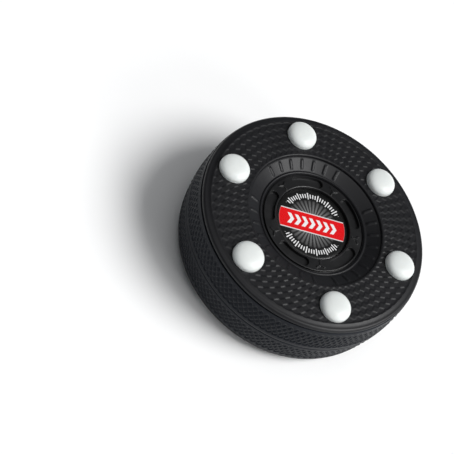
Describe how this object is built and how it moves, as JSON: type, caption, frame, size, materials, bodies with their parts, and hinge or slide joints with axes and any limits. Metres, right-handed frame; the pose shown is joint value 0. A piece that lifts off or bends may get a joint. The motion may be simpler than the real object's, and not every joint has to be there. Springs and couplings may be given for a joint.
{
  "type": "inline hockey puck",
  "caption": "Round black puck of two clamped half shells, with domed white gliders standing proud of each face and a recessed centre cap that holds a printed disc.",
  "frame": {"origin": "on the puck's axis, in the plane of the six lower crowns that it rests on", "axes": "+Z along the puck's axis, up out of the upper face; +X through glider number 1"},
  "size_m": [0.0762, 0.0762, 0.028],
  "materials": {
    "shell_plastic": "moulded black thermoplastic, satin, with a diamond texture on the gliding faces and a diamond knurl on the wall",
    "cap_plastic": "moulded black thermoplastic, semi-gloss",
    "label_print": "glossy printed vinyl disc: grey rays, a ring of white ticks, and a red band with white chevrons",
    "glider_nylon": "white nylon, semi-gloss"
  },
  "bodies": {
    "root": {"upper_shell": "shell_plastic", "lower_shell": "shell_plastic", "upper_centre_cap": "cap_plastic", "lower_centre_cap": "cap_plastic", "upper_label": "label_print", "lower_label": "label_print", "upper_glider_1": "glider_nylon", "upper_glider_2": "glider_nylon", "upper_glider_3": "glider_nylon", "upper_glider_4": "glider_nylon", "upper_glider_5": "glider_nylon", "upper_glider_6": "glider_nylon", "lower_glider_1": "glider_nylon", "lower_glider_2": "glider_nylon", "lower_glider_3": "glider_nylon", "lower_glider_4": "glider_nylon", "lower_glider_5": "glider_nylon", "lower_glider_6": "glider_nylon"}
  },
  "joints": []
}
